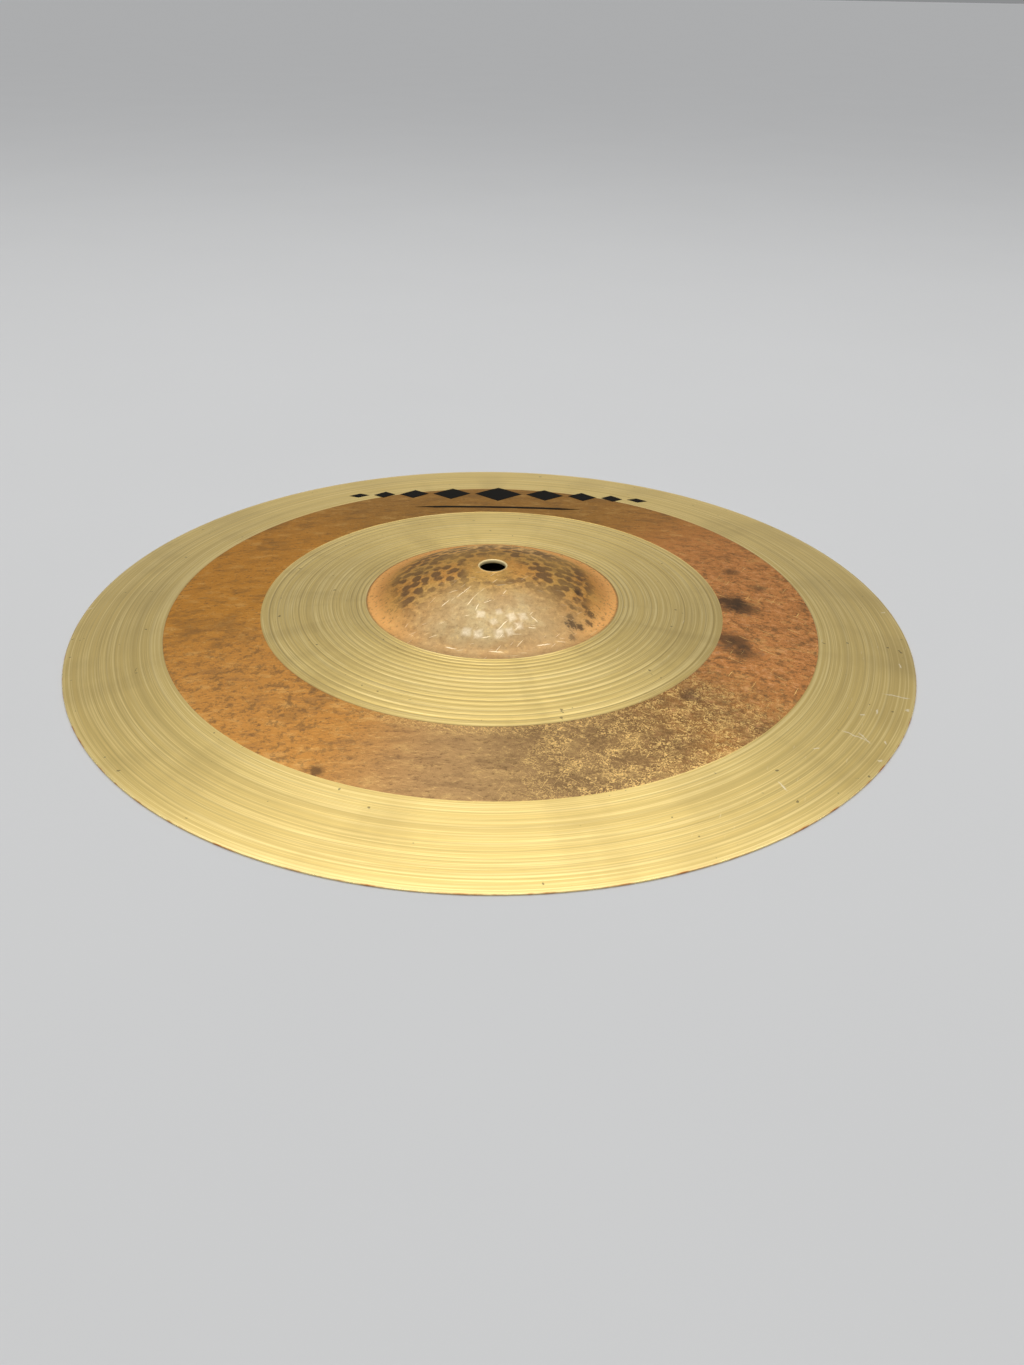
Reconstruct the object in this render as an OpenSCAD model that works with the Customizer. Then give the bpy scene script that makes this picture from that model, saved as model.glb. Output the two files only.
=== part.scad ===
// Suspended cymbal: one bronze plate, hammered and turned, with a printed mark.
// Origin: on the axis, in the plane that the rim rests on. +Z points up through the bell.

/* [Plate] */
// Diameter over the rim
plate_d = 406.4; // [400:0.1:430]
// Thickness at the rim
rim_t = 0.8; // [0.6:0.05:1.5]
// Thickness of the bow where it meets the bell
bow_t = 1.3; // [1:0.05:2]
// Radius of the bow's curve from the bell out to the inner band's edge
bow_r = 1670; // [1400:10:2400]
// Tighter radius of the bow's curve from there to the rim
droop_r = 1015; // [700:5:1300]

/* [Bell] */
// Height of the bell's crown over the rim plane
crown_z = 30.6; // [28:0.1:36]
// Radius of the bell's dome
dome_r = 108.75; // [100:0.25:120]
// Radius of the hollow curve between the dome and the bow
fillet_r = 15; // [10:0.5:20]
// Thickness of the bell
bell_t = 1.7; // [1.2:0.05:3]
// Diameter of the mounting hole
hole_d = 12.7; // [10:0.1:15]
// Chamfer on both edges of the hole
hole_chamfer = 0.2; // [0.1:0.05:0.4]

/* [Bands] */
// Outer diameter of the inner turned band
inner_band_d = 225; // [180:0.5:236]
// Inner diameter of the outer turned band
outer_band_d = 316; // [290:0.5:340]
// Depth of the turned bands below the unturned metal
turned_depth = 0.12; // [0.05:0.01:0.3]

/* [Printed mark] */
// Length of the printed ornament
mark_w = 180; // [164:1:184]
// Height of its middle lozenge
mark_h = 28; // [20:1:28]
// Distance of the ornament's centre line from the axis
mark_y = 147; // [144:1:150]
// Length of the thin rule between the ornament and the bell
rule_w = 96; // [40:1:110]
// Distance of the rule from the axis
rule_y = 121; // [119:1:124]
// Thickness of the ink
ink_t = 0.08; // [0.05:0.01:0.15]

/* [Hidden] */
$fn = 128;
plate_r = plate_d / 2;
inner_band_r = inner_band_d / 2;
outer_band_r = outer_band_d / 2;
SAGITTA = 0.005; // furthest that a facet of the section lies from its true curve
NOSE_STEPS = 8; // facets round the rim's edge
SAME = 0.001; // points closer than this are one point
CUTTER_H = 100; // tall enough to pass through the whole plate

// The unturned top face is four arcs, tangent where they meet: dome, fillet, bow and droop. The
// dome and the bow have their centres on the axis, and the fillet curves the other way. A half
// circle closes the rim, from rim_x on the top face round to the underside, and touches z = 0.
turn_slope = asin(inner_band_r / bow_r);
droop_x = inner_band_r - droop_r * sin(turn_slope);
nose_r = rim_t / 2;
nose_depth = turned_depth + nose_r;
rim_x = (plate_r - nose_r - nose_depth * droop_x / droop_r) / (1 - nose_depth / droop_r);
rim_slope = asin((rim_x - droop_x) / droop_r);
droop_z = nose_r - (droop_r - nose_depth) * cos(rim_slope);
bow_z = droop_z + (droop_r - bow_r) * cos(turn_slope);
dome_z = crown_z - dome_r;
to_dome = dome_r + fillet_r;
to_bow = bow_r + fillet_r;
fillet_z = (to_dome ^ 2 - to_bow ^ 2 + bow_z ^ 2 - dome_z ^ 2) / (2 * (bow_z - dome_z));
fillet_x = sqrt(to_dome ^ 2 - (fillet_z - dome_z) ^ 2);
dome_end = fillet_x * dome_r / to_dome;
bell_edge = fillet_x * bow_r / to_bow;

function slope(r) =
    r < dome_end ? asin(r / dome_r)
    : r < bell_edge ? asin((fillet_x - r) / fillet_r)
    : r < inner_band_r ? asin(r / bow_r)
    : asin((r - droop_x) / droop_r);

function height(r) =
    r < dome_end ? dome_z + dome_r * cos(slope(r))
    : r < bell_edge ? fillet_z - fillet_r * cos(slope(r))
    : r < inner_band_r ? bow_z + bow_r * cos(slope(r))
    : droop_z + droop_r * cos(slope(r));

function curve_r(r) =
    r < dome_end ? dome_r
    : r < bell_edge ? fillet_r
    : r < inner_band_r ? bow_r
    : droop_r;

// Depth of the underside below the unturned top face
function thickness(r) =
    lookup(r, [[dome_end, bell_t], [bell_edge, bow_t], [rim_x, turned_depth + rim_t]]);

// A point of the section, sunk below the unturned top face along its normal
function sunk(r, depth) = [r - depth * sin(slope(r)), height(r) - depth * cos(slope(r))];

// Radii from one to the other in even steps, small enough for the curve between them
function radii(from, to) =
    let (facet = sqrt(8 * curve_r((from + to) / 2) * SAGITTA), n = ceil(abs(to - from) / facet))
        [for (i = [0:n]) from + (to - from) * i / n];

// Each band of the top face as [inner radius, outer radius, depth of turning]
BANDS = [
    [0, dome_end, 0],
    [dome_end, bell_edge, 0],
    [bell_edge, inner_band_r, turned_depth],
    [inner_band_r, outer_band_r, 0],
    [outer_band_r, rim_x, turned_depth]
];

function without_repeats(points) =
    [for (i = [0:len(points) - 1]) if (i == 0 || norm(points[i] - points[i - 1]) > SAME) points[i]];

function top_face(bands, lift) =
    without_repeats([for (b = bands) each [for (r = radii(b[0], b[1])) sunk(r, b[2] - lift)]]);

function underside() =
    let (ends = [rim_x, inner_band_r, bell_edge, dome_end, 0])
        without_repeats([
            for (i = [1:len(ends) - 1])
                for (r = radii(ends[i - 1], ends[i]))
                    sunk(r, thickness(r))
        ]);

function nose() =
    let (centre = sunk(rim_x, nose_depth), start = 90 - rim_slope)
        [for (i = [1:NOSE_STEPS - 1])
            let (a = start - 180 * i / NOSE_STEPS) centre + nose_r * [cos(a), sin(a)]];

module hole_cutter() {
    hole_r = hole_d / 2;
    top = height(hole_r);
    bottom = sunk(hole_r, bell_t)[1];
    translate([0, 0, -CUTTER_H / 2])
        cylinder(h = CUTTER_H, r = hole_r);
    translate([0, 0, top - hole_chamfer])
        cylinder(h = 2 * hole_chamfer, r1 = hole_r, r2 = hole_r + 2 * hole_chamfer);
    translate([0, 0, bottom - hole_chamfer])
        cylinder(h = 2 * hole_chamfer, r1 = hole_r + 2 * hole_chamfer, r2 = hole_r);
}

// The whole instrument: one piece of cast, rolled, hammered and turned bronze
module cymbal() {
    color("goldenrod")
        difference() {
            rotate_extrude()
                polygon(concat(top_face(BANDS, 0), nose(), underside()));
            hole_cutter();
        }
}

module lozenge(w, h) {
    polygon([[-w / 2, 0], [0, h / 2], [w / 2, 0], [0, -h / 2]]);
}

// A row of lozenges that shrink outwards from the middle one, with a pointed bar at each end
module divider() {
    sizes = [0.8, 0.62, 0.46] * mark_h;
    gap = mark_h * 0.1;
    starts = [for (i = 0, x = mark_h / 2 + gap; i < len(sizes); x = x + sizes[i] + gap, i = i + 1) x];
    bar_from = starts[2] + sizes[2] + gap;
    bar_h = mark_h * 0.3;
    lozenge(mark_h, mark_h);
    for (s = [-1, 1]) {
        for (i = [0:len(sizes) - 1])
            translate([s * (starts[i] + sizes[i] / 2), 0])
                lozenge(sizes[i], sizes[i]);
        translate([s * (bar_from + mark_w / 2) / 2, 0])
            lozenge(mark_w / 2 - bar_from, bar_h);
    }
}

// A thin rule with pointed ends
module rule() {
    half_h = mark_h * 0.05;
    end = rule_w / 2;
    flat_end = end - 8 * half_h;
    polygon([
        [-end, 0], [-flat_end, half_h], [flat_end, half_h],
        [end, 0], [flat_end, -half_h], [-flat_end, -half_h]
    ]);
}

// The ink lies on the unturned band and the outer turned band, and wraps over the step
module printed_mark() {
    wrap_r = outer_band_r + ink_t;
    face = top_face([BANDS[3], BANDS[4]], 0);
    top = top_face([[inner_band_r, wrap_r, 0], [wrap_r, rim_x, turned_depth]], ink_t);
    color("black")
        intersection() {
            rotate_extrude()
                polygon(concat(face, [for (i = [len(top) - 1:-1:0]) top[i]]));
            linear_extrude(CUTTER_H) {
                translate([0, mark_y])
                    divider();
                translate([0, rule_y])
                    rule();
            }
        }
}

cymbal();
printed_mark();
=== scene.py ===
"""Looks for the crash cymbal: one hammered and turned bronze plate with a printed ornament."""
import math
import random
from typing import NamedTuple, Optional

import bpy
import numpy as np
from mathutils import Matrix, Vector


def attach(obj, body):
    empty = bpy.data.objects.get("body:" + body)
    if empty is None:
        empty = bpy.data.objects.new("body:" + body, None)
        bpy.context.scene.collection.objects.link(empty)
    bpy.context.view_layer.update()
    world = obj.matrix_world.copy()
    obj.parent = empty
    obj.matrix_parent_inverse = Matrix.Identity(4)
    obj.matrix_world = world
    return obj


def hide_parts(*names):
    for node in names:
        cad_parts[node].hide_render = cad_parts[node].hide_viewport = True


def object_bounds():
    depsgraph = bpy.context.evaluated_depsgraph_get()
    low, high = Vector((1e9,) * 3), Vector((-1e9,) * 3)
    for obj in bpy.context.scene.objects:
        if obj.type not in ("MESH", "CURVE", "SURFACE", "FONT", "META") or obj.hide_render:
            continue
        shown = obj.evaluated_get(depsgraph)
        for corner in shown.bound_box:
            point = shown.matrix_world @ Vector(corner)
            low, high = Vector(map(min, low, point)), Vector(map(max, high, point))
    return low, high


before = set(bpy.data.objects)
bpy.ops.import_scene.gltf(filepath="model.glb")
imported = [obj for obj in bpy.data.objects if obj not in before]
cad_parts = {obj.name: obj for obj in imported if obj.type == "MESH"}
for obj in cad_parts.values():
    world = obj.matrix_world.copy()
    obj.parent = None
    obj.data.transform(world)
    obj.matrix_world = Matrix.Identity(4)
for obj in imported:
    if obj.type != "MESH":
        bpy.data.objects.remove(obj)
cad_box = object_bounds()
MM = 0.001

# The plate's section in millimetres, as in the CAD source
BOW_R = 1670.0
DROOP_R = 1015.0
CROWN_Z = 30.6
DOME_R = 108.75
FILLET_R = 15.0
BELL_T = 1.7
BOW_T = 1.3
RIM_T = 0.8
HOLE_R = 6.35
HOLE_CHAMFER = 0.2
INNER_BAND_R = 112.5
OUTER_BAND_R = 158.0
TURNED = 0.12
PLATE_R = (cad_box[1].x - cad_box[0].x) / 2 / MM

# How finely the mesh is cut
SEGMENTS = 288
RINGS_PER_TRACK = 5
NOSE_STEPS = 8

# Start of the random draws for the tool's tracks and the hammer's marks
SEED = 16

# How much of the baked image the underside gets, against the top
UNDERSIDE_SHARE = 0.3


# ---------------------------------------------------------------- section

class Section:
    """Height, slope and thickness of the plate at a radius, in millimetres."""

    def __init__(self):
        turn = math.asin(INNER_BAND_R / BOW_R)
        self.droop_x = INNER_BAND_R - DROOP_R * math.sin(turn)
        self.nose_r = RIM_T / 2
        self.nose_depth = TURNED + self.nose_r
        self.rim_x = (PLATE_R - self.nose_r - self.nose_depth * self.droop_x / DROOP_R) / (
            1 - self.nose_depth / DROOP_R
        )
        self.rim_slope = math.asin((self.rim_x - self.droop_x) / DROOP_R)
        self.droop_z = self.nose_r - (DROOP_R - self.nose_depth) * math.cos(self.rim_slope)
        self.bow_z = self.droop_z + (DROOP_R - BOW_R) * math.cos(turn)
        self.dome_z = CROWN_Z - DOME_R
        to_dome, to_bow = DOME_R + FILLET_R, BOW_R + FILLET_R
        self.fillet_z = (to_dome**2 - to_bow**2 + self.bow_z**2 - self.dome_z**2) / (
            2 * (self.bow_z - self.dome_z)
        )
        self.fillet_x = math.sqrt(to_dome**2 - (self.fillet_z - self.dome_z) ** 2)
        self.dome_end = self.fillet_x * DOME_R / to_dome
        self.bell_edge = self.fillet_x * BOW_R / to_bow

    def slope(self, r):
        if r < self.dome_end:
            return math.asin(r / DOME_R)
        if r < self.bell_edge:
            return math.asin((self.fillet_x - r) / FILLET_R)
        if r < INNER_BAND_R:
            return math.asin(r / BOW_R)
        return math.asin((r - self.droop_x) / DROOP_R)

    def height(self, r):
        s = self.slope(r)
        if r < self.dome_end:
            return self.dome_z + DOME_R * math.cos(s)
        if r < self.bell_edge:
            return self.fillet_z - FILLET_R * math.cos(s)
        if r < INNER_BAND_R:
            return self.bow_z + BOW_R * math.cos(s)
        return self.droop_z + DROOP_R * math.cos(s)

    def thickness(self, r):
        if r < self.dome_end:
            return BELL_T
        if r < self.bell_edge:
            t = (r - self.dome_end) / (self.bell_edge - self.dome_end)
            return BELL_T + (BOW_T - BELL_T) * t
        t = (r - self.bell_edge) / (self.rim_x - self.bell_edge)
        return BOW_T + (TURNED + RIM_T - BOW_T) * t

    def sunk(self, r, depth):
        """The point that far below the unturned top face, along its normal."""
        s = self.slope(r)
        return (r - depth * math.sin(s), self.height(r) - depth * math.cos(s))


section = Section()


# ---------------------------------------------------------------- turning

# For each turned band, the depth of its deepest groove, and the width of its tracks at the start and
# further on, in millimetres
INNER_CUT = 0.23
INNER_PITCH = (2.5, 3.7)
OUTER_CUT = 0.03
OUTER_PITCH = (3.2, 4.2)
UNDER_CUT = 0.03
UNDER_PITCH = (5.0, 5.0)

# The underside's tracks stop this far short of the rim's half circle
UNDER_GAP = 1.0

# Shares of its nominal width and depth between which a track is drawn at random
WIDTH_SHARES = (0.86, 1.14)
CUT_SHARES = (0.5, 1.0)

# The nominal width reaches its second value this many times sooner than the band ends
SETTLING = 2.2


def turned_tracks(start, end, pitch_from, pitch_to, rng):
    """Edges of the tool's tracks from one radius to the other."""
    edges = [start]
    while edges[-1] < end:
        t = (edges[-1] - start) / (end - start)
        pitch = pitch_from + (pitch_to - pitch_from) * min(1.0, SETTLING * t)
        edges.append(edges[-1] + pitch * rng.uniform(*WIDTH_SHARES))
    return [start + (e - start) * (end - start) / (edges[-1] - start) for e in edges]


def scallop_rings(edges, depth, rng):
    """(radius, depth of the cut) across each track: a rounded land between two thin grooves."""
    rings = []
    for a, b in zip(edges, edges[1:]):
        cut = depth * rng.uniform(*CUT_SHARES)
        for i in range(RINGS_PER_TRACK):
            t = i / RINGS_PER_TRACK
            rings.append((a + (b - a) * t, cut * (2 * t - 1) ** 2))
    return rings


# ---------------------------------------------------------------- hammering

class Hammering(NamedTuple):
    """Rings of marks as (radius, gap), their smallest and largest half width, and their depth, in
    millimetres, and how far a mark strays from its place, as a share of the gap."""
    rows: list
    size_from: float
    size_to: float
    depth: float
    stray: float


BELL_MARKS = Hammering([(12.5 + 5.1 * i, 5.7) for i in range(8)], 2.4, 3.2, 0.10, 0.22)
RAW_MARKS = Hammering([(119.0, 17.0), (130.0, 17.0), (141.0, 18.0), (151.0, 18.0)],
                      4.5, 7.0, 0.07, 0.3)
BOW_MARKS = Hammering([(72.0, 30.0), (88.0, 30.0), (102.0, 30.0), (168.0, 34.0), (184.0, 34.0)],
                      8.0, 12.0, 0.035, 0.3)

# A mark's length against its width, and its strength, are drawn between these numbers
LENGTH_SHARES = (0.95, 1.35)
STRENGTHS = (0.6, 1.0)

# A mark's discoloured patch ends where the square of the distance in half widths is this, and no
# ring further off than the bound is reached
PATCH_END = 1.35
PATCH_BOUND = 1.5


def hammer_marks(hammering, rng):
    """(radius, angle, half length round the axis, half width, depth, strength) of each mark."""
    marks = []
    for row_r, gap in hammering.rows:
        count = int(2 * math.pi * row_r / gap)
        phase = rng.uniform(0, 2 * math.pi)
        for i in range(count):
            a = phase + 2 * math.pi * (i + rng.uniform(-hammering.stray, hammering.stray)) / count
            r = row_r + rng.uniform(-hammering.stray, hammering.stray) * gap
            size = rng.uniform(hammering.size_from, hammering.size_to)
            strength = rng.uniform(*STRENGTHS)
            length = size * rng.uniform(*LENGTH_SHARES)
            marks.append((r, a, length, size, hammering.depth * strength, strength))
    return marks


def dent_field(radii, marks):
    """Depth of the hammer marks, and how far a point is inside one, on the grid of rings."""
    angle = np.arange(SEGMENTS) * 2 * math.pi / SEGMENTS
    depth = np.zeros((len(radii), SEGMENTS))
    mask = np.zeros((len(radii), SEGMENTS))
    rr = np.array(radii)[:, None]
    for r, a, along, across, d, strength in marks:
        near = np.nonzero(np.abs(rr[:, 0] - r) < across * PATCH_BOUND)[0]
        if not len(near):
            continue
        around = (angle - a + math.pi) % (2 * math.pi) - math.pi
        q = ((rr[near] - r) / across) ** 2 + (around[None, :] * r / along) ** 2
        depth[near] = np.maximum(depth[near], d * np.clip(1 - q, 0, 1))
        mask[near] = np.maximum(mask[near], strength * np.clip(PATCH_END - q, 0, 1))
    return depth, mask


def dents_by_zone(radii, rng):
    """Depth and mask of the hammer marks in each zone of the top. The bow's marks don't discolour."""
    bell = dent_field(radii, hammer_marks(BELL_MARKS, rng))
    raw = dent_field(radii, hammer_marks(RAW_MARKS, rng))
    bow_depth, _ = dent_field(radii, hammer_marks(BOW_MARKS, rng))
    bow = (bow_depth, np.zeros_like(bow_depth))
    return {"bell": bell, "inner_band": bow, "raw_band": raw, "outer_band": bow}


# ---------------------------------------------------------------- the plate

ZONES = ["bore", "bell", "inner_band", "raw_band", "outer_band", "rim", "underside"]

# Gaps between rings where there are no tracks, in millimetres
LIP_STEP = 0.4
BELL_STEP = 1.2
RAW_STEP = 1.3
UNDER_STEP = 3.0

# A turned band's wall is this wide. At its top the unturned edge drops by this much, and rounds off
# over twice the width
WALL_W = 0.15
EDGE_DROP = 0.03

# The burr that the punch left round the hole: height, radius, width and where it ends
BURR_H = 0.22
BURR_R = 7.0
BURR_W = 0.5
BURR_END = 9.0


class Ring(NamedTuple):
    """A ring of the mesh: its place, the way out of the metal, its zone, and its number on the top."""
    r: float
    z: float
    out_r: float
    out_z: float
    zone: str
    top: Optional[int] = None


def evenly(a, b, step):
    """Numbers from a to just short of b, about a step apart."""
    n = max(1, round(abs(b - a) / step))
    return [a + (b - a) * i / n for i in range(n)]


def burr(r):
    """Height of the burr round the hole."""
    return BURR_H * math.exp(-(((r - BURR_R) / BURR_W) ** 2))


def band_rings(start, end, pitch, cut, zone, rng):
    """The rings of one turned band of the top."""
    tracks = turned_tracks(start, end, *pitch, rng)
    return [(r, TURNED + d, zone) for r, d in scallop_rings(tracks, cut, rng)]


def top_rings(rng):
    """(radius, depth below the unturned face, zone) of each ring on the top, hole to rim."""
    raw_from, raw_to = INNER_BAND_R + 2 * WALL_W, OUTER_BAND_R - 2 * WALL_W
    inner_from, inner_to = section.bell_edge + WALL_W, INNER_BAND_R - WALL_W
    rings = [(r, -burr(r), "bell") for r in evenly(HOLE_R + HOLE_CHAMFER, BURR_END, LIP_STEP)]
    rings += [(r, 0.0, "bell") for r in evenly(BURR_END, section.bell_edge, BELL_STEP)]
    rings.append((section.bell_edge, 0.0, "inner_band"))
    rings += band_rings(inner_from, inner_to, INNER_PITCH, INNER_CUT, "inner_band", rng)
    rings.append((inner_to, TURNED, "inner_band"))
    rings.append((INNER_BAND_R, EDGE_DROP, "raw_band"))
    rings += [(r, 0.0, "raw_band") for r in evenly(raw_from, raw_to, RAW_STEP)]
    rings.append((raw_to, 0.0, "raw_band"))
    rings.append((OUTER_BAND_R, EDGE_DROP, "outer_band"))
    rings += band_rings(OUTER_BAND_R + WALL_W, section.rim_x, OUTER_PITCH, OUTER_CUT,
                        "outer_band", rng)
    return rings


def groove_depth(depth, zone):
    """How deep a ring lies in its groove, from 0 at the crest to 1 in the deepest one."""
    deepest = {"inner_band": INNER_CUT, "outer_band": OUTER_CUT}.get(zone)
    return max(0.0, depth - TURNED) / deepest if deepest else 0.0


def nose_rings():
    """The half circle that closes the rim."""
    cx, cz = section.sunk(section.rim_x, section.nose_depth)
    start = math.pi / 2 - section.rim_slope
    rings = []
    for k in range(NOSE_STEPS + 1):
        a = start - math.pi * k / NOSE_STEPS
        out_r, out_z = math.cos(a), math.sin(a)
        rings.append(Ring(cx + section.nose_r * out_r, cz + section.nose_r * out_z, out_r, out_z, "rim"))
    return rings


def underside_rings(rng):
    """The underside from the rim to the hole: lightly turned, except under the bell."""
    tracks = turned_tracks(section.bell_edge, section.rim_x - UNDER_GAP, *UNDER_PITCH, rng)
    under = [(r, -d) for r, d in reversed(scallop_rings(tracks, UNDER_CUT, rng)[::2])]
    under += [(r, 0.0) for r in evenly(section.bell_edge, HOLE_R + HOLE_CHAMFER, UNDER_STEP)]
    rings = []
    for r, d in under:
        s = section.slope(r)
        x, z = section.sunk(r, section.thickness(r) + d)
        rings.append(Ring(x, z, -math.sin(s), -math.cos(s), "underside"))
    return rings


def bore_rings():
    """The wall of the hole, with its chamfers."""
    top = section.height(HOLE_R)
    bottom = section.sunk(HOLE_R, BELL_T)[1]
    return [
        Ring(HOLE_R + HOLE_CHAMFER, bottom, 0, -1, "underside"),
        Ring(HOLE_R, bottom + HOLE_CHAMFER, -1, 0, "bore"),
        Ring(HOLE_R, top - HOLE_CHAMFER, -1, 0, "bore"),
    ]


def plate_loop(top, rng):
    """The plate's closed section as rings: top, rim, underside and the wall of the hole."""
    loop = []
    for i, (r, depth, zone) in enumerate(top):
        s = section.slope(r)
        x, z = section.sunk(r, depth)
        loop.append(Ring(x, z, math.sin(s), math.cos(s), zone, i))
    return loop + nose_rings() + underside_rings(rng) + bore_rings()


def grid_faces(ring_count):
    """Quads between each ring and the next, and between the last and the first."""
    faces = []
    for i in range(ring_count):
        j = (i + 1) % ring_count
        for k in range(SEGMENTS):
            m = (k + 1) % SEGMENTS
            faces.append((i * SEGMENTS + k, j * SEGMENTS + k, j * SEGMENTS + m, i * SEGMENTS + m))
    return faces


def unroll(mesh, loop):
    """UV map for baking: U goes round the plate, and V along the section, most of it on the top."""
    steps = []
    for ring, following in zip(loop, loop[1:] + loop[:1]):
        share = UNDERSIDE_SHARE if ring.zone == "underside" else 1.0
        steps.append(math.hypot(following.r - ring.r, following.z - ring.z) * share)
    v = np.concatenate([[0.0], np.cumsum(steps)]) / sum(steps)
    u = np.arange(SEGMENTS + 1) / SEGMENTS
    uv = np.zeros((len(loop), SEGMENTS, 4, 2))
    for corner, (ring, turn) in enumerate(((0, 0), (1, 0), (1, 1), (0, 1))):
        uv[:, :, corner, 0] = u[None, turn:turn + SEGMENTS]
        uv[:, :, corner, 1] = v[ring:ring + len(loop), None]
    mesh.uv_layers.new(name="OFBake").data.foreach_set("uv", uv.ravel())


def lathe_plate():
    """The whole plate as one closed mesh, with its hammer marks and grooves as attributes."""
    rng = random.Random(SEED)
    top = top_rings(rng)
    loop = plate_loop(top, rng)
    dents = dents_by_zone([r for r, _, _ in top], rng)

    angle = np.arange(SEGMENTS) * 2 * math.pi / SEGMENTS
    verts, masks, grooves = [], [], []
    for ring in loop:
        sink, mask, groove = np.zeros(SEGMENTS), np.zeros(SEGMENTS), 0.0
        if ring.top is not None:
            sink, mask = (field[ring.top] for field in dents[ring.zone])
            groove = groove_depth(*top[ring.top][1:])
        rr = ring.r - sink * ring.out_r
        zz = ring.z - sink * ring.out_z
        verts.append(np.stack([rr * np.cos(angle), rr * np.sin(angle), zz], axis=1))
        masks.append(mask)
        grooves.append(np.full(SEGMENTS, groove))

    faces = grid_faces(len(loop))
    coords = np.concatenate(verts) * MM
    mesh = bpy.data.meshes.new("cymbal_bronze")
    mesh.from_pydata(coords.tolist(), [], faces)
    zones = [ZONES.index(ring.zone) for ring in loop for _ in range(SEGMENTS)]
    mesh.polygons.foreach_set("material_index", zones)
    mesh.polygons.foreach_set("use_smooth", [True] * len(faces))
    for name, values in (("dent", masks), ("groove", grooves)):
        layer = mesh.attributes.new(name, "FLOAT", "POINT")
        layer.data.foreach_set("value", np.concatenate(values))
    unroll(mesh, loop)
    mesh.update()
    obj = bpy.data.objects.new("cymbal_bronze", mesh)
    bpy.context.collection.objects.link(obj)
    return obj


# ---------------------------------------------------------------- material helpers

# Keeps the octaves of a noise from lining up on the axes
OFF_LATTICE = (7.37, 3.61)


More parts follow.
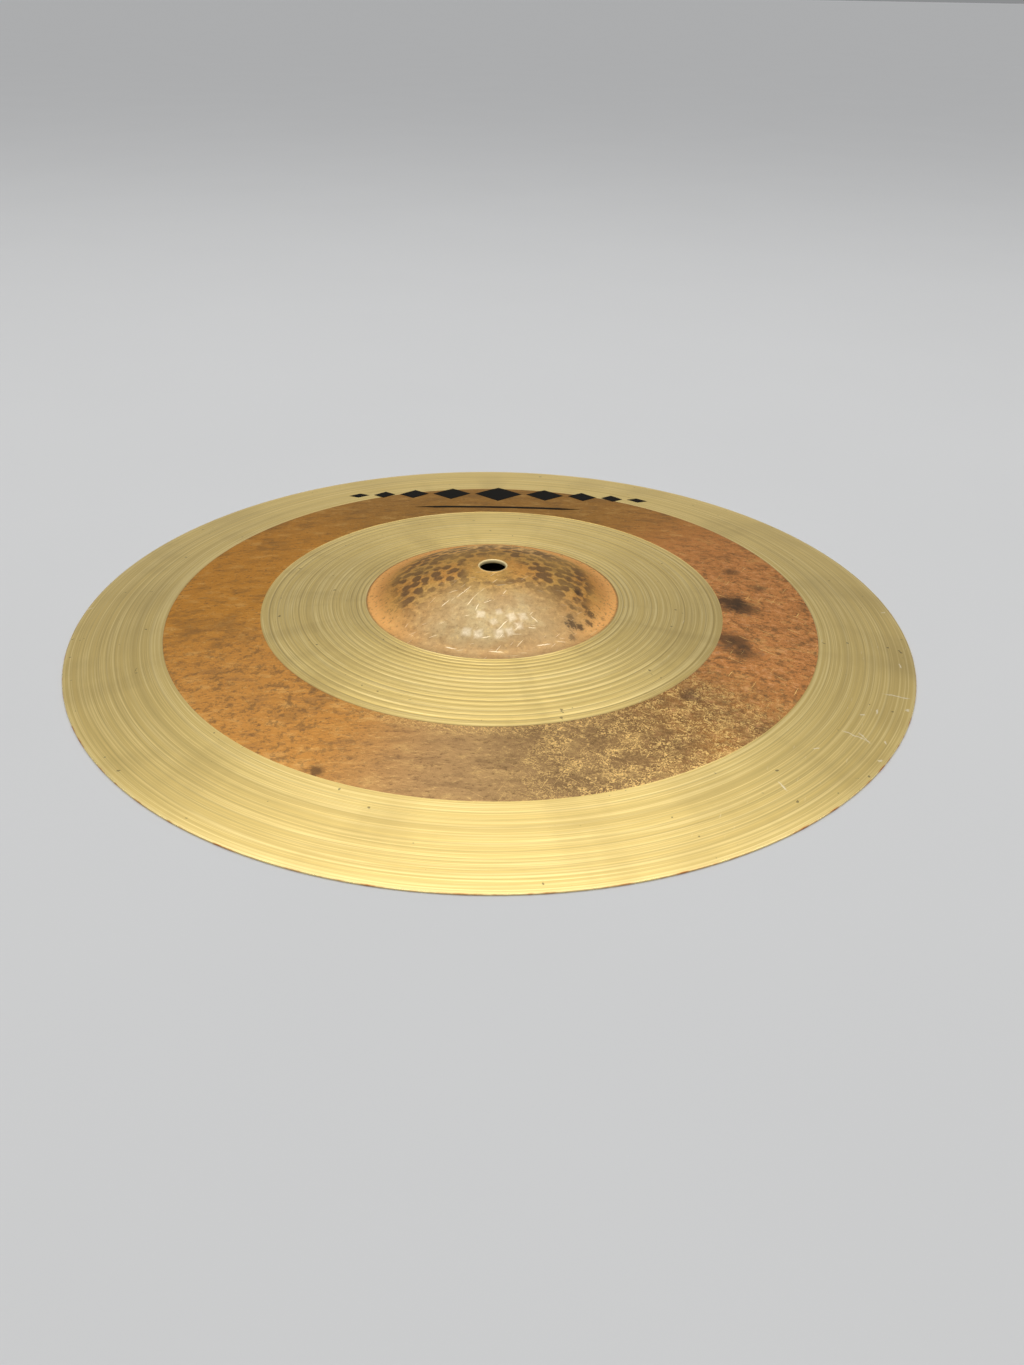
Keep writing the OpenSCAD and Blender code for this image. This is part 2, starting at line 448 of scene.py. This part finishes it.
class Nodes:
    """A new material, and short names for adding and wiring its nodes."""

    def __init__(self, name):
        self.material = bpy.data.materials.new(name)
        self.material.use_nodes = True
        self.tree = self.material.node_tree
        self.tree.nodes.clear()
        self.shader = self.add("BsdfPrincipled")
        self.link(self.shader.outputs[0], self.add("OutputMaterial").inputs[0])
        self.place = self.add("TexCoord").outputs["Object"]
        x, y, _ = self.split(self.place)
        self.flat = self.join(x, y, 0.0)
        self.radius = self.vector_math("LENGTH", self.flat).outputs["Value"]
        self.unit = self.vector_math("NORMALIZE", self.flat).outputs[0]

    def add(self, kind, **settings):
        node = self.tree.nodes.new("ShaderNode" + kind)
        for name, value in settings.items():
            setattr(node, name, value)
        return node

    def link(self, a, b):
        self.tree.links.new(a, b)

    def put(self, value, socket):
        if isinstance(value, bpy.types.NodeSocket):
            self.link(value, socket)
        else:
            socket.default_value = value

    def surface(self, **inputs):
        """Sets the shader's inputs; an underscore stands for the space in a socket's name."""
        for name, value in inputs.items():
            self.put(value, self.shader.inputs[name.replace("_", " ")])

    def math(self, op, a, b=0.0, c=0.0):
        node = self.add("Math", operation=op)
        for value, socket in zip((a, b, c), node.inputs):
            self.put(value, socket)
        return node.outputs[0]

    def vector_math(self, op, a, b=(0, 0, 0)):
        node = self.add("VectorMath", operation=op)
        self.link(a, node.inputs[0])
        self.put(b, node.inputs[1])
        return node

    def split(self, vector):
        node = self.add("SeparateXYZ")
        self.link(vector, node.inputs[0])
        return node.outputs[:]

    def join(self, x, y, z):
        node = self.add("CombineXYZ")
        for value, socket in zip((x, y, z), node.inputs):
            self.put(value, socket)
        return node.outputs[0]

    def rotated(self, vector, degrees):
        """The vector turned back by that angle about the axis."""
        node = self.add("VectorRotate", rotation_type="Z_AXIS")
        node.inputs["Angle"].default_value = math.radians(-degrees)
        self.link(vector, node.inputs["Vector"])
        return node.outputs[0]

    def ring_vector(self, per_radius, per_turn):
        """Texture space stretched round the axis: per_radius per metre, per_turn per radian."""
        around = self.vector_math("SCALE", self.unit)
        around.inputs["Scale"].default_value = per_turn
        lift = self.join(*OFF_LATTICE, self.math("MULTIPLY", self.radius, per_radius))
        return self.vector_math("ADD", around.outputs[0], lift).outputs[0]

    def rolled_vector(self, along, across):
        """Texture space of the sheet, which was rolled along X: scales per metre."""
        return self.vector_math("MULTIPLY", self.place, (along, across, across)).outputs[0]

    def noise(self, vector, scale=1.0, detail=2.0, rough=0.5, distortion=0.0):
        node = self.add("TexNoise")
        self.link(vector, node.inputs["Vector"])
        node.inputs["Scale"].default_value = scale
        node.inputs["Detail"].default_value = detail
        node.inputs["Roughness"].default_value = rough
        node.inputs["Distortion"].default_value = distortion
        return node.outputs[0]

    def remap(self, value, low, high, to_low=0.0, to_high=1.0):
        """A smooth step from one number to another as the value goes from low to high."""
        node = self.add("MapRange", interpolation_type="SMOOTHSTEP")
        self.put(value, node.inputs["Value"])
        ends = {"From Min": low, "From Max": high, "To Min": to_low, "To Max": to_high}
        for name, number in ends.items():
            node.inputs[name].default_value = number
        return node.outputs[0]

    def by_radius(self, from_mm, to_mm, to_low=0.0, to_high=1.0):
        """A smooth step from one radius to another."""
        return self.remap(self.radius, from_mm * MM, to_mm * MM, to_low, to_high)

    def mix(self, factor, a, b):
        node = self.add("Mix", data_type="RGBA")
        self.put(factor, node.inputs["Factor"])
        for value, socket in ((a, node.inputs[6]), (b, node.inputs[7])):
            self.put((*value, 1.0) if isinstance(value, tuple) else value, socket)
        return node.outputs[2]

    def product(self, *masks):
        """Several masks multiplied together."""
        total = masks[0]
        for mask in masks[1:]:
            total = self.math("MULTIPLY", total, mask)
        return total

    def strongest(self, *masks):
        """The largest of several masks."""
        total = masks[0]
        for mask in masks[1:]:
            total = self.math("MAXIMUM", total, mask)
        return total

    def layer(self, base, colour, *masks):
        """A colour laid over the base by the product of the masks."""
        return self.mix(self.product(*masks), base, colour)

    def facing(self, degrees, width):
        """1 along the direction at that angle about the axis, falling to 0 that many degrees away."""
        angle = math.radians(degrees)
        dot = self.vector_math("DOT_PRODUCT", self.unit, (math.cos(angle), math.sin(angle), 0))
        return self.remap(dot.outputs["Value"], math.cos(math.radians(width)), 1.0)

    def away_from(self, r_mm, degrees):
        """Vector on the flat from a place on the plate to the shaded point."""
        r, angle = r_mm * MM, math.radians(degrees)
        place = (r * math.cos(angle), r * math.sin(angle), 0)
        return self.vector_math("SUBTRACT", self.flat, place).outputs[0]

    def spot(self, r_mm, degrees, size_mm, ragged, wobble):
        """1 at a place on the plate, falling to 0 at a ragged edge."""
        size = size_mm * MM
        away = self.vector_math("LENGTH", self.away_from(r_mm, degrees)).outputs["Value"]
        reach = self.math("MULTIPLY_ADD", wobble, 2 * ragged * size, away)
        return self.remap(reach, size * (0.3 + ragged), size * (1.2 + ragged), 1.0, 0.0)

    def tile(self, r_mm, degrees, size_mm, heading, wobble):
        """1 on a small square place with soft edges."""
        size = size_mm * MM
        a, b, _ = self.split(self.rotated(self.away_from(r_mm, degrees), heading))
        reach = self.strongest(self.math("ABSOLUTE", a), self.math("ABSOLUTE", b))
        reach = self.math("MULTIPLY_ADD", wobble, size, reach)
        return self.remap(reach, size * 0.75, size * 1.35, 1.0, 0.0)

    def stroke(self, r_mm, degrees, heading, length_mm, width_mm, wobble):
        """1 on a short crooked line whose middle is at that place."""
        half, width = length_mm * MM / 2, width_mm * MM
        a, b, _ = self.split(self.rotated(self.away_from(r_mm, degrees), heading))
        bent = self.math("MULTIPLY_ADD", self.math("SUBTRACT", wobble, 0.5), 4 * width, b)
        along = self.remap(self.math("ABSOLUTE", a), half * 0.4, half, 1.0, 0.0)
        across = self.remap(self.math("ABSOLUTE", bent), width * 0.2, width, 1.0, 0.0)
        return self.product(along, across)

    def scratches(self, degrees, per_length, per_width, level):
        """Sparse thin lines that run at that angle."""
        scales = (per_length, per_width, per_length)
        stretched = self.vector_math("MULTIPLY", self.rotated(self.place, degrees), scales).outputs[0]
        return self.remap(self.noise(stretched, detail=1, distortion=0.15), level, level + 0.04)

    def crossings(self, value, level, width):
        """Thin lines where a value passes through a level."""
        gap = self.math("ABSOLUTE", self.math("SUBTRACT", value, level))
        return self.remap(gap, 0.0, width, 1.0, 0.0)

    def attribute(self, name):
        return self.add("Attribute", attribute_name=name).outputs["Fac"]

    def bump(self, height, distance):
        node = self.add("Bump")
        node.inputs["Strength"].default_value = 1.0
        node.inputs["Distance"].default_value = distance
        self.link(height, node.inputs["Height"])
        self.surface(Normal=node.outputs[0])

    def ringed(self, anisotropy):
        """Grooves run round the axis, so the gloss spreads across them."""
        tangent = self.add("Tangent", direction_type="RADIAL", axis="Z").outputs[0]
        self.surface(Tangent=tangent, Anisotropic=anisotropy, Anisotropic_Rotation=0.25)


# ---------------------------------------------------------------- colours and marks

PALE_GOLD = (1.0, 0.80, 0.36)
MID_GOLD = (0.80, 0.60, 0.213)
DEEP_GOLD = (0.70, 0.52, 0.18)
TARNISH = (0.47, 0.34, 0.12)
COPPER = (0.62, 0.262, 0.08)
PALE_COPPER = (0.88, 0.47, 0.21)
ORANGE_BROWN = (0.58, 0.262, 0.042)
# Painted sheen on the front of the unturned band
RAW_PAINTED_SHEEN = (0.40, 0.275, 0.135)
# Painted shade on the back of the unturned band
RAW_PAINTED_SHADE = (0.41, 0.205, 0.045)
UMBER = (0.17, 0.095, 0.04)
DARK = (0.06, 0.036, 0.024)
GLINT = (0.92, 0.62, 0.22)
BELL_BROWN = (0.68, 0.335, 0.08)
BELL_GOLD = (0.64, 0.375, 0.10)
# Painted sheen on the back of the bell, as if lit at a grazing angle
BELL_PAINTED_BACK_SHEEN = (1.0, 0.66, 0.25)
# Painted sheen over the front of the bell, where the lamps reflect, in two tones
BELL_PAINTED_SHEEN = (0.47, 0.375, 0.20)
BELL_PAINTED_SHEEN_DULL = (0.41, 0.295, 0.145)
BELL_MARK = (0.16, 0.09, 0.045)
FOOT_ORANGE = (1.0, 0.53, 0.17)
# Pale glint painted on the bell's burnished facets
BURNISHED_PAINTED_GLINT = (0.66, 0.57, 0.43)
SCRATCH = (1.0, 0.87, 0.60)
LIP_GOLD = (0.92, 0.74, 0.38)
BARE_GOLD = (0.95, 0.79, 0.42)
INK_BLACK = (0.007, 0.006, 0.005)
INK_WORN = (0.016, 0.014, 0.011)
PAPER = (0.62, 0.62, 0.615)
PAPER_PALE = (0.64, 0.64, 0.635)

# Tint of the gloss on the brown scale
WARM_GLOSS = (0.9, 0.7, 0.5, 1.0)

# Nicks near the rim: radius, angle, heading, length and width in mm and degrees
RIM_NICKS = (
    (195, -20.5, -5, 15, 0.5), (186, -33.5, -28, 13, 0.5), (190, -33, -65, 9, 0.45),
    (201, -23, 60, 3, 1.0), (201, -36, 30, 3, 0.8), (184, -28, 10, 3, 0.7), (198, -32, 80, 3, 0.6),
    (183, -50, -60, 7, 0.45), (196, -12, 85, 5, 0.45), (189, -26, 70, 5, 0.4), (199, 4, 40, 4, 0.5),
    (201, 62, -20, 4, 0.6), (202, 179, 20, 5, 0.6), (178, -40, 15, 4, 0.4),
)
# Burnished scratches on the bell, in the same terms
BELL_SCRATCHES = (
    (26, -120, 49, 12, 0.32), (36, -126.5, 45, 6, 0.3), (44, -83, 50, 9, 0.3),
    (56, -64, 22, 8, 0.32), (57, -87, -4, 8, 0.32), (50, -92, 12, 5, 0.25), (34, -101, 70, 5, 0.28),
    (30, -93, 30, 5, 0.25), (43, -62, -40, 5, 0.28), (57, -108, -18, 6, 0.28),
    (24, -75, 62, 4, 0.25), (31, -108, 60, 7, 0.25), (28, -130, 20, 5, 0.25),
    (47, -66, 10, 4, 0.28),
)
# Facets that the hammer left on the front of the bell, burnished, with a painted pale glint: radius,
# angle, size and heading
BELL_FACETS = (
    (48, -85, 3.4, 10), (47.5, -79, 3.2, 25), (45, -73, 3.4, 15), (40, -76, 3.2, 30),
    (40.5, -68.5, 3.0, 20), (48, -103, 3.2, -10), (48.5, -96.5, 3.0, 5), (38, -97, 2.8, 0),
    (42, -88, 2.4, 40), (36, -84, 2.4, 15),
)
# Dark stains on the unturned band: radius, angle, size and strength
STAINS = (
    (118, 2, 10, 0.9), (125, 0, 8, 0.7), (119, -18, 10, 0.75), (126, -21, 7, 0.5),
    (130, 18, 5, 0.6), (138, 10, 4, 0.5), (156, -115, 4, 0.7), (122, -44, 6, 0.5),
    (134, 200, 4, 0.3),
)
# Clusters of dark flecks at the right of the bell, in the same terms as the stains
BELL_STAINS = (
    (51, -43, 3.4, 0.8), (54, -40, 2.4, 0.8), (48, -40, 2.4, 0.6), (52, -27, 2.8, 0.75),
    (49, -24, 2.2, 0.6), (42, -14, 2.2, 0.7), (55, -33, 2.2, 0.7), (45, -32, 2.0, 0.6),
    (57, -48, 2.4, 0.6),
)


# ---------------------------------------------------------------- materials

def turned_bronze(name, line, anisotropy, nicks=()):
    """Bright turned metal, cut with fine rings of uneven strength."""
    n = Nodes(name)
    wide = n.noise(n.ring_vector(700, 1.3), detail=2, rough=0.6)
    fine = n.noise(n.ring_vector(2100, 2.1), detail=2, rough=0.7)
    hair = n.noise(n.ring_vector(1800, 2.7), detail=3, rough=0.75)
    rings = n.noise(n.ring_vector(430, 0.1), detail=1, rough=0.6)
    sector = n.noise(n.ring_vector(12, 4.5), detail=3)
    cloud = n.noise(n.place, scale=14, detail=3)
    specks = n.noise(n.place, scale=300, detail=1)
    gold = n.layer(MID_GOLD, DEEP_GOLD, n.remap(wide, 0.35, 0.65, 0.0, 0.3))
    gold = n.layer(gold, TARNISH, n.remap(hair, 0.53, 0.66, 0.0, 0.36))
    gold = n.layer(gold, PALE_GOLD, n.remap(fine, 0.51, 0.66, 0.0, 0.7))
    gold = n.layer(gold, TARNISH, n.crossings(rings, 0.46, 0.06), 0.22)
    gold = n.layer(gold, PALE_GOLD, n.crossings(rings, 0.57, 0.045), 0.6)
    # Dark lines in the grooves: partly tarnish, partly painted shade of the grooves
    gold = n.layer(gold, TARNISH, n.remap(n.attribute("groove"), 0.35, 1.0), line)
    gold = n.layer(gold, TARNISH, n.remap(cloud, 0.5, 0.75, 0.0, 0.25))
    gold = n.layer(gold, TARNISH, n.remap(sector, 0.5, 0.7, 0.0, 0.28))
    gold = n.layer(gold, DARK, n.remap(specks, 0.755, 0.8), 0.6)
    gold = n.layer(gold, SCRATCH, n.facing(-20, 60), n.scratches(70, 120, 2200, 0.76), 0.6)
    if nicks:
        crook = n.noise(n.place, scale=420, detail=2)
        chips = n.strongest(*(n.stroke(*nick, crook) for nick in nicks))
        gold = n.layer(gold, SCRATCH, chips, 0.9)
    n.surface(Base_Color=gold, Metallic=1.0, Roughness=n.remap(fine, 0.3, 0.7, 0.46, 0.39))
    n.bump(n.math("MULTIPLY_ADD", hair, 0.4, n.math("MULTIPLY", fine, 0.6)), 0.02 * MM)
    n.ringed(anisotropy)
    return n.material


def raw_bronze(name):
    """The unturned band: brown scale with coppery wear, dark stains and gold flecks."""
    n = Nodes(name)
    flecks = n.noise(n.rolled_vector(330, 620), detail=4, rough=0.7)
    long_flecks = n.noise(n.rolled_vector(75, 190), detail=4, rough=0.65)
    mottle = n.noise(n.place, scale=260, detail=5, rough=0.75)
    blotch = n.noise(n.place, scale=34, detail=4, rough=0.6)
    patch = n.noise(n.place, scale=120, detail=3, rough=0.6)
    grains = n.noise(n.place, scale=820, detail=4, rough=0.72, distortion=1.2)
    rough_side = n.facing(-12, 62)
    # The scale's own colours from one side of the plate to the other, with painted shade at the back and
    # a painted grey sheen at the front
    base = n.layer(ORANGE_BROWN, COPPER, n.facing(5, 75))
    # Painted shade: the back darker brown, where the scale reflects no light
    base = n.layer(base, RAW_PAINTED_SHADE, n.facing(92, 60))
    # Painted sheen: the front greyer, where the lamps reflect
    base = n.layer(base, RAW_PAINTED_SHEEN, n.facing(-84, 36), 0.75)
    base = n.layer(base, UMBER, n.facing(-60, 34), n.remap(blotch, 0.3, 0.6, 0.35, 0.75))
    # Flecks, crust and wear
    base = n.layer(base, UMBER, n.remap(long_flecks, 0.50, 0.68, 0.0, 0.4))
    base = n.layer(base, GLINT, n.remap(long_flecks, 0.47, 0.3, 0.0, 0.25))
    base = n.layer(base, UMBER, n.remap(flecks, 0.56, 0.66, 0.0, 0.6))
    base = n.layer(base, GLINT, n.remap(flecks, 0.42, 0.32, 0.0, 0.3))
    base = n.layer(base, UMBER, n.remap(mottle, 0.58, 0.68, 0.0, 0.4))
    base = n.layer(base, PALE_COPPER, n.facing(-130, 45), 0.13)
    base = n.layer(base, UMBER, n.facing(-138, 36), n.remap(mottle, 0.50, 0.60, 0.0, 0.5))
    base = n.layer(base, UMBER, rough_side, n.remap(mottle, 0.50, 0.60, 0.0, 0.55))
    base = n.layer(base, PALE_COPPER, rough_side, n.remap(mottle, 0.46, 0.38, 0.0, 0.4))
    base = n.layer(base, UMBER, n.remap(blotch, 0.54, 0.74, 0.0, 0.4))
    ragged = n.math("MULTIPLY_ADD", mottle, 0.6, n.math("MULTIPLY", patch, 0.4))
    for r, degrees, size, strength in STAINS:
        base = n.layer(base, DARK, n.spot(r, degrees, size, 2.1, ragged), strength)
    # Gold grains where the scale is rubbed, and fine scratches
    rubbed = n.product(n.facing(-60, 33), n.remap(patch, 0.39, 0.56, 0.2, 1.0))
    rubbed = n.strongest(rubbed, n.product(n.by_radius(122, 114, 0, 0.8), n.facing(-80, 50)))
    base = n.layer(base, GLINT, rubbed, n.remap(grains, 0.48, 0.58, 0, 0.9))
    lines = n.strongest(n.scratches(-35, 60, 1500, 0.72), n.scratches(62, 70, 1600, 0.74))
    base = n.layer(base, GLINT, lines, n.facing(-30, 80))
    n.surface(Base_Color=base, Metallic=1.0, Specular_Tint=WARM_GLOSS,
              Roughness=n.remap(flecks, 0.3, 0.7, 0.42, 0.56), Coat_Weight=0.2, Coat_Roughness=0.45)
    n.bump(n.math("MULTIPLY_ADD", mottle, 0.8, flecks), 0.2 * MM)
    return n.material


def hammered_bronze(name):
    """The bell: coppery brown, darker in the hammer marks, bright orange at its foot."""
    n = Nodes(name)
    grain = n.noise(n.place, scale=520, detail=5, rough=0.7)
    smear = n.noise(n.place, scale=110, detail=4, rough=0.6, distortion=0.5)
    blotch = n.noise(n.place, scale=40, detail=3)
    # Where the painted sheen lies: the front of the bell, away from the hole
    front = n.product(n.facing(-88, 74), n.by_radius(10, 34))
    # Grain shows less under the painted sheen at the front
    grainy = n.remap(front, 0.0, 1.0, 1.0, 0.5)
    # The scale, a dull painted sheen at the front, a painted sheen at the back, and its bright foot
    base = n.layer(BELL_GOLD, BELL_BROWN, n.remap(blotch, 0.35, 0.65))
    base = n.layer(base, UMBER, n.remap(smear, 0.5, 0.7, 0.0, 0.35))
    # Painted sheen: the back of the bell lighter, as if lit at a grazing angle
    base = n.layer(base, BELL_PAINTED_BACK_SHEEN, n.facing(90, 62), n.by_radius(22, 34, 0.0, 0.85))
    # Painted sheen: a grey highlight over the front of the bell
    base = n.layer(base, n.layer(BELL_PAINTED_SHEEN, BELL_PAINTED_SHEEN_DULL, n.remap(smear, 0.38, 0.62)), front, 0.85)
    # The painted sheen darkened again towards the foot
    base = n.layer(base, UMBER, front, n.by_radius(44, 58, 0.0, 0.35))
    # The orange foot fades at the front, under the painted sheen
    base = n.layer(base, FOOT_ORANGE, n.by_radius(47, 59), n.remap(front, 0.0, 1.0, 0.85, 0.2))
    # Painted shade: a dark ring along the bell's edge, where it steps down to the turned band
    base = n.layer(base, UMBER, n.by_radius(60.5, 61.8, 0.0, 0.5))
    base = n.layer(base, UMBER, n.remap(grain, 0.52, 0.68, 0.0, 0.55), grainy)
    base = n.layer(base, GLINT, n.remap(grain, 0.46, 0.34, 0.0, 0.35), grainy)
    # Hammer marks, dark with ragged edges, fading at the front under the painted sheen, at the foot and
    # at the hole
    edge = n.math("MULTIPLY_ADD", n.math("SUBTRACT", smear, 0.5), 0.8, n.attribute("dent"))
    edge = n.math("MULTIPLY_ADD", n.math("SUBTRACT", grain, 0.5), 0.4, edge)
    base = n.layer(base, BELL_MARK, n.remap(edge, 0.38, 0.75), n.by_radius(53, 44, 0.05, 1.0),
                   n.remap(front, 0.0, 0.75, 1.0, 0.0), n.remap(blotch, 0.3, 0.5, 0.42, 0.82),
                   n.by_radius(11, 17))
    # Facets with painted glints, stains, scratches and the bare lip of the hole
    facets = n.strongest(*(n.tile(*facet, smear) for facet in BELL_FACETS))
    # Painted highlight: the burnished facets paler, as glints, besides smoother
    base = n.layer(base, BURNISHED_PAINTED_GLINT, facets, n.remap(grain, 0.3, 0.6, 0.65, 0.3))
    stained = n.strongest(*(n.product(n.spot(r, degrees, size, 2.2, grain), strength)
                            for r, degrees, size, strength in BELL_STAINS))
    base = n.layer(base, DARK, stained)
    lines = n.strongest(n.scratches(52, 90, 2200, 0.73), n.scratches(8, 90, 2200, 0.74))
    lines = n.product(lines, n.facing(-88, 85))
    cuts = n.strongest(lines, *(n.stroke(*scratch, grain) for scratch in BELL_SCRATCHES))
    base = n.layer(base, SCRATCH, cuts, 0.8)
    base = n.layer(base, LIP_GOLD, n.by_radius(7.4, 6.8))
    gloss = n.math("MULTIPLY_ADD", facets, -0.08, n.remap(grain, 0.3, 0.7, 0.44, 0.54))
    n.surface(Base_Color=base, Metallic=1.0, Specular_Tint=WARM_GLOSS, Roughness=gloss,
              Coat_Weight=0.2, Coat_Roughness=0.42)
    n.bump(grain, 0.12 * MM)
    return n.material


def bore_bronze(name):
    """The wall of the hole: bare pale metal, dulled by the stand's felt."""
    n = Nodes(name)
    worn = n.noise(n.place, scale=500, detail=3)
    n.surface(Base_Color=n.layer(BARE_GOLD, PALE_GOLD, n.remap(worn, 0.5, 0.75)),
              Metallic=0.25, Roughness=n.remap(worn, 0.3, 0.7, 0.4, 0.55))
    return n.material


def bright_edge(name):
    """The bare edge of the rim, coppery in places."""
    n = Nodes(name)
    worn = n.noise(n.place, scale=120, detail=3)
    n.surface(Base_Color=n.layer(PALE_GOLD, COPPER, n.remap(worn, 0.4, 0.7)),
              Metallic=1.0, Roughness=n.remap(worn, 0.3, 0.7, 0.25, 0.4))
    return n.material


def black_ink(name):
    """Flat black printing ink over turned metal."""
    n = Nodes(name)
    tone = n.noise(n.place, scale=90, detail=3)
    n.surface(Base_Color=n.mix(tone, INK_BLACK, INK_WORN),
              Roughness=n.remap(tone, 0.3, 0.7, 0.75, 0.9), Specular_IOR_Level=0.04)
    n.bump(n.noise(n.ring_vector(1700, 1.6), detail=3, rough=0.6), 0.04 * MM)
    return n.material


def floor_paper(name):
    n = Nodes(name)
    tone = n.noise(n.place, scale=6, detail=2)
    n.surface(Base_Color=n.mix(tone, PAPER, PAPER_PALE), Roughness=0.9)
    return n.material


# ---------------------------------------------------------------- stage

FLOOR_HALF = 30.0

# Strength of the soft dome at the horizon, and at and above this height on the unit sphere
DOME_LOW = 0.27
DOME_HIGH = 0.80
DOME_HIGH_AT = 0.9
DOME_COLOUR = (0.97, 0.98, 1.0, 1)

# The softboxes that shine at the origin: place and size in metres, and watts
SOFTBOXES = {
    "wide": ((0.05, 0.45, 1.5), (2.7, 0.6), 7.8),
    "key": ((0.05, 0.48, 1.45), (1.2, 0.6), 1.1),
    "fill": ((-0.2, -1.2, 1.5), (1.2, 0.5), 4),
}

# The camera stands in front of the cymbal and looks down at it
CAMERA_PLACE = (0.01034, -0.51080, 0.27343)
CAMERA_PITCH = 31.18
CAMERA_ROLL = 1.025
CAMERA_LENS = 30.59
CAMERA_SENSOR = 36


def add_floor():
    """The pale sheet under the cymbal, for the pictures only."""
    h = FLOOR_HALF
    mesh = bpy.data.meshes.new("floor")
    mesh.from_pydata([(-h, -h, 0), (h, -h, 0), (h, h, 0), (-h, h, 0)], [], [(0, 1, 2, 3)])
    floor = bpy.data.objects.new("floor", mesh)
    bpy.context.collection.objects.link(floor)
    floor.data.materials.append(floor_paper("floor_paper"))


def add_dome():
    """A soft dome, brighter overhead than at the horizon."""
    world = bpy.data.worlds.new("studio")
    world.use_nodes = True
    tree = world.node_tree
    background = tree.nodes["Background"]
    coord = tree.nodes.new("ShaderNodeTexCoord")
    split = tree.nodes.new("ShaderNodeSeparateXYZ")
    rise = tree.nodes.new("ShaderNodeMapRange")
    ends = {"From Min": 0.0, "From Max": DOME_HIGH_AT, "To Min": DOME_LOW, "To Max": DOME_HIGH}
    for name, number in ends.items():
        rise.inputs[name].default_value = number
    tree.links.new(coord.outputs["Generated"], split.inputs[0])
    tree.links.new(split.outputs[2], rise.inputs["Value"])
    tree.links.new(rise.outputs[0], background.inputs["Strength"])
    background.inputs["Color"].default_value = DOME_COLOUR
    bpy.context.scene.world = world


def add_softbox(name, place, size, watts):
    light = bpy.data.lights.new(name, "AREA")
    light.shape = "RECTANGLE"
    light.size, light.size_y = size
    light.energy = watts
    obj = bpy.data.objects.new(name, light)
    obj.location = place
    obj.rotation_mode = "QUATERNION"
    obj.rotation_quaternion = (-Vector(place)).to_track_quat("-Z", "Y")
    bpy.context.collection.objects.link(obj)


def add_camera():
    camera = bpy.data.cameras.new("camera")
    camera.lens = CAMERA_LENS
    camera.sensor_width = CAMERA_SENSOR
    camera.clip_start = 0.02
    obj = bpy.data.objects.new("camera", camera)
    pitch, roll = math.radians(CAMERA_PITCH), math.radians(CAMERA_ROLL)
    look = Vector((0, math.cos(pitch), -math.sin(pitch)))
    right = Vector((1, 0, 0))
    up = Vector((0, math.sin(pitch), math.cos(pitch)))
    across = right * math.cos(roll) + up * math.sin(roll)
    upward = up * math.cos(roll) - right * math.sin(roll)
    turn = Matrix((across, upward, -look)).transposed()
    obj.matrix_world = Matrix.Translation(CAMERA_PLACE) @ turn.to_4x4()
    bpy.context.collection.objects.link(obj)
    bpy.context.scene.camera = obj


# ---------------------------------------------------------------- build

METALS = {
    "bore": bore_bronze("bore_metal"),
    "bell": hammered_bronze("bell_bronze"),
    "inner_band": turned_bronze("inner_turned_bronze", 0.8, 0.6),
    "raw_band": raw_bronze("raw_bronze"),
    "outer_band": turned_bronze("outer_turned_bronze", 0.4, 0.6, RIM_NICKS),
    "rim": bright_edge("rim_metal"),
    "underside": turned_bronze("underside_bronze", 0.4, 0.7),
}

plate = lathe_plate()
for zone in ZONES:
    plate.data.materials.append(METALS[zone])
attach(plate, "root")
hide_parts("cymbal")

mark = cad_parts["printed_mark"]
mark.data.materials.clear()
mark.data.materials.append(black_ink("printed_ink"))

bpy.context.scene.view_settings.view_transform = "Standard"
add_floor()
add_dome()
for name, box in SOFTBOXES.items():
    add_softbox(name, *box)
add_camera()
